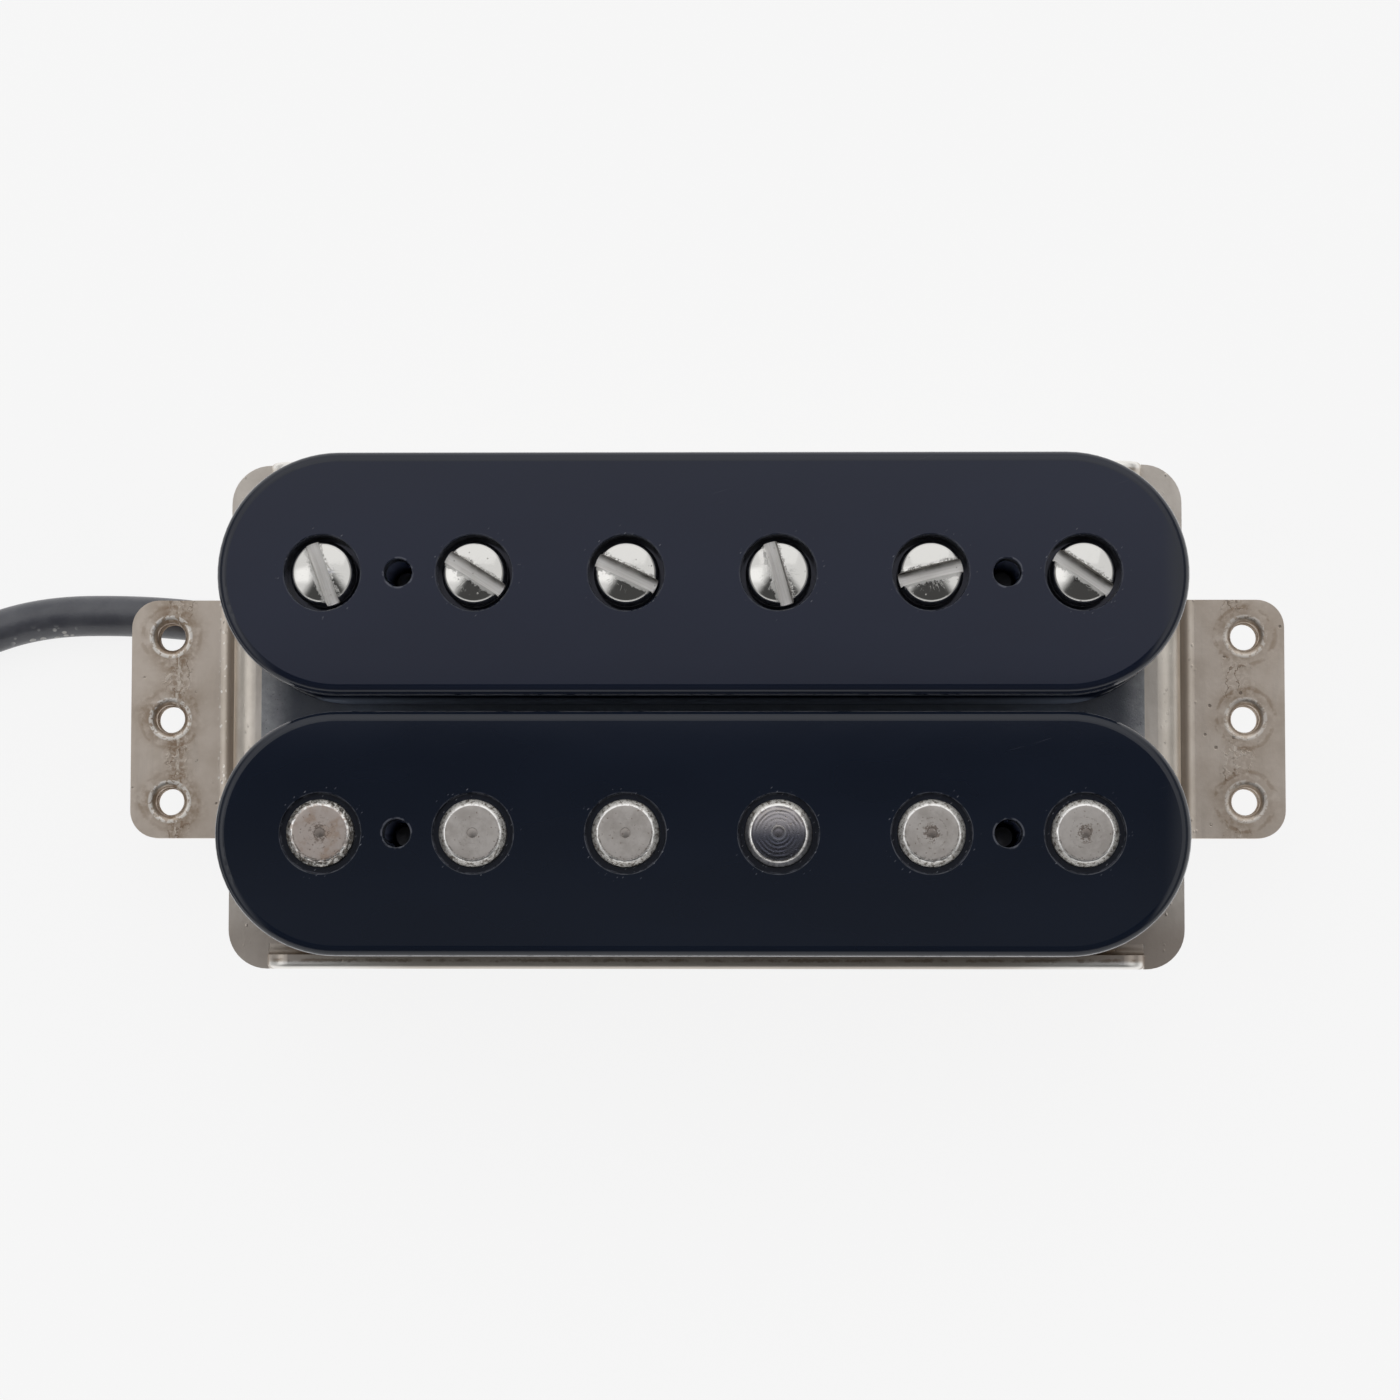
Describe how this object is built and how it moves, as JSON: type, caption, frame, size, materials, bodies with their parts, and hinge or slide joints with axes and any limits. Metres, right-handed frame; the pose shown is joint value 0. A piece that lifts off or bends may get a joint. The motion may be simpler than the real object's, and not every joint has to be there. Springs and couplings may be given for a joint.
{
  "type": "guitar pickup",
  "caption": "Open-coil guitar pickup: black bobbins with slotted pole screws and plain slugs over a bar magnet, on a stepped metal baseplate with threaded legs, with its coiled lead.",
  "frame": {"origin": "middle of the pickup's footprint, without its lead, level with the tips of the pole screws", "axes": "+X along the rows of poles, away from the side where the lead leaves; +Y towards the row of adjustable screws; +Z towards the strings"},
  "size_m": [0.1424, 0.0571, 0.0241],
  "materials": {
    "nickel_silver": "tarnished satin",
    "magnet": "ground, dull",
    "keeper_steel": "bright drawn",
    "spacer_wood": "plain",
    "screw_bobbin_plastic": "moulded gloss",
    "slug_bobbin_plastic": "moulded gloss",
    "coil_wire": "enamelled",
    "coil_tape": "woven cloth",
    "pole_screw_nickel": "bright nickel plate",
    "slug_steel": "turned, nickel plate",
    "fixing_screw_steel": "blackened",
    "cable_jacket": "satin",
    "tie_plastic": "satin",
    "bare_wire": "tinned",
    "solder": "solder",
    "red_insulation": "satin",
    "white_insulation": "satin",
    "green_insulation": "satin",
    "black_insulation": "satin",
    "splice_sleeve": "satin"
  },
  "bodies": {
    "pickup": {"baseplate": "nickel_silver", "magnet_bar": "magnet", "keeper_bar": "keeper_steel", "spacer_strip": "spacer_wood", "screw_bobbin": "screw_bobbin_plastic", "slug_bobbin": "slug_bobbin_plastic", "screw_coil": "coil_wire", "slug_coil": "coil_wire", "screw_coil_tape": "coil_tape", "slug_coil_tape": "coil_tape", "cable": "cable_jacket", "cable_coil": "cable_jacket", "cable_tie": "tie_plastic", "drain_wire": "bare_wire", "ground_solder": "solder", "slug_1": "slug_steel", "slug_2": "slug_steel", "slug_3": "slug_steel", "slug_4": "slug_steel", "slug_5": "slug_steel", "slug_6": "slug_steel", "fixing_screw_1": "fixing_screw_steel", "fixing_screw_2": "fixing_screw_steel", "fixing_screw_3": "fixing_screw_steel", "fixing_screw_4": "fixing_screw_steel", "red_conductor": "red_insulation", "white_conductor": "white_insulation", "green_conductor": "green_insulation", "black_conductor": "black_insulation", "red_splice": "splice_sleeve", "white_splice": "splice_sleeve", "green_splice": "splice_sleeve", "black_splice": "splice_sleeve"},
    "pole_1": {"pole_screw_1": "pole_screw_nickel"},
    "pole_2": {"pole_screw_2": "pole_screw_nickel"},
    "pole_3": {"pole_screw_3": "pole_screw_nickel"},
    "pole_4": {"pole_screw_4": "pole_screw_nickel"},
    "pole_5": {"pole_screw_5": "pole_screw_nickel"},
    "pole_6": {"pole_screw_6": "pole_screw_nickel"}
  },
  "joints": [
    {"name": "pole_screw_1_height", "type": "slide", "parent": "pickup", "child": "pole_1", "axis": [0, 0, 1], "range_m": [-0.0008, 0.003]},
    {"name": "pole_screw_2_height", "type": "slide", "parent": "pickup", "child": "pole_2", "axis": [0, 0, 1], "range_m": [-0.0008, 0.003]},
    {"name": "pole_screw_3_height", "type": "slide", "parent": "pickup", "child": "pole_3", "axis": [0, 0, 1], "range_m": [-0.0008, 0.003]},
    {"name": "pole_screw_4_height", "type": "slide", "parent": "pickup", "child": "pole_4", "axis": [0, 0, 1], "range_m": [-0.0008, 0.003]},
    {"name": "pole_screw_5_height", "type": "slide", "parent": "pickup", "child": "pole_5", "axis": [0, 0, 1], "range_m": [-0.0008, 0.003]},
    {"name": "pole_screw_6_height", "type": "slide", "parent": "pickup", "child": "pole_6", "axis": [0, 0, 1], "range_m": [-0.0008, 0.003]}
  ]
}
